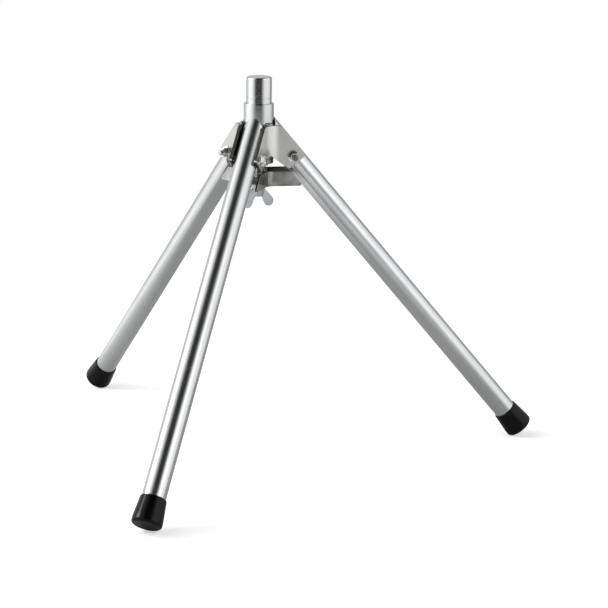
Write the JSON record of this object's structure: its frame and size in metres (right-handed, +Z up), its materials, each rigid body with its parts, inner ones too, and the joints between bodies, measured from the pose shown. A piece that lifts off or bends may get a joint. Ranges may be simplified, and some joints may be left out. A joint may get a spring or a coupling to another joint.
{
  "type": "folding tripod stand",
  "caption": "Folding steel tripod stand with tubular legs, rubber feet, bent hub plates, a wing-screw spreader and a plain round spigot on top.",
  "frame": {"origin": "on the stand's vertical axis at floor level", "axes": "+Z up along the spigot; leg 1 points to -Y, legs 2 and 3 at 30 and 150 degrees from +X"},
  "size_m": [0.7216, 0.6306, 0.5397],
  "materials": {
    "polished_steel": "polished bright steel, fine turning marks",
    "tube_steel": "bright zinc-plated drawn tube, satin to polished along its length",
    "plate_steel": "satin nickel-grey plated plate with rolled grain",
    "zinc_steel": "bright zinc-plated fasteners",
    "cast_zinc": "cast and plated, soft satin",
    "foot_rubber": "moulded black rubber, slightly glossy"
  },
  "bodies": {
    "hub": {"center_post": "polished_steel", "spigot": "polished_steel", "post_plug": "zinc_steel", "hub_plate_1": "plate_steel", "hub_plate_2": "plate_steel", "hub_plate_3": "plate_steel", "plate_weld_1": "plate_steel", "plate_weld_2": "plate_steel", "plate_weld_3": "plate_steel", "pivot_bolt_1": "zinc_steel", "pivot_bolt_2": "zinc_steel", "pivot_bolt_3": "zinc_steel", "pivot_nut_1": "zinc_steel", "pivot_nut_2": "zinc_steel", "pivot_nut_3": "zinc_steel", "head_washer_1": "zinc_steel", "head_washer_2": "zinc_steel", "head_washer_3": "zinc_steel", "nut_washer_1": "zinc_steel", "nut_washer_2": "zinc_steel", "nut_washer_3": "zinc_steel"},
    "leg_1": {"leg_tube_1": "tube_steel", "pivot_sleeve_1": "zinc_steel", "rubber_foot_1": "foot_rubber", "foot_disc_1": "zinc_steel"},
    "leg_2": {"leg_tube_2": "tube_steel", "pivot_sleeve_2": "zinc_steel", "rubber_foot_2": "foot_rubber", "foot_disc_2": "zinc_steel"},
    "leg_3": {"leg_tube_3": "tube_steel", "pivot_sleeve_3": "zinc_steel", "rubber_foot_3": "foot_rubber", "foot_disc_3": "zinc_steel"},
    "spreader": {"spreader_band_1": "plate_steel", "spreader_band_2": "plate_steel", "spreader_band_3": "plate_steel", "spreader_plate": "plate_steel", "spreader_washer": "zinc_steel"},
    "clamp_screw": {"wing_grip": "cast_zinc", "clamp_rod": "zinc_steel"}
  },
  "joints": [
    {"name": "leg_fold_1", "type": "hinge", "parent": "hub", "child": "leg_1", "pos_m": [0, -0.0468, 0.42888], "axis": [1, 0, 0], "range_deg": [0, 40.15]},
    {"name": "leg_fold_2", "type": "hinge", "parent": "hub", "child": "leg_2", "pos_m": [0.04053, 0.0234, 0.42888], "axis": [-0.5, 0.866, 0], "range_deg": [0, 40.15]},
    {"name": "leg_fold_3", "type": "hinge", "parent": "hub", "child": "leg_3", "pos_m": [-0.04053, 0.0234, 0.42888], "axis": [-0.5, -0.866, 0], "range_deg": [0, 40.15]},
    {"name": "spreader_slide", "type": "slide", "parent": "hub", "child": "spreader", "axis": [0, 0, -1], "range_m": [0, 0.024]},
    {"name": "screw_turn", "type": "hinge", "parent": "spreader", "child": "clamp_screw", "pos_m": [0, 0, 0.37], "axis": [0, 0, -1], "range_deg": [0, 5761]}
  ],
  "couplings": [
    {"joint": "screw_turn", "follows": "spreader_slide", "rad_per_m": 4188.8}
  ]
}
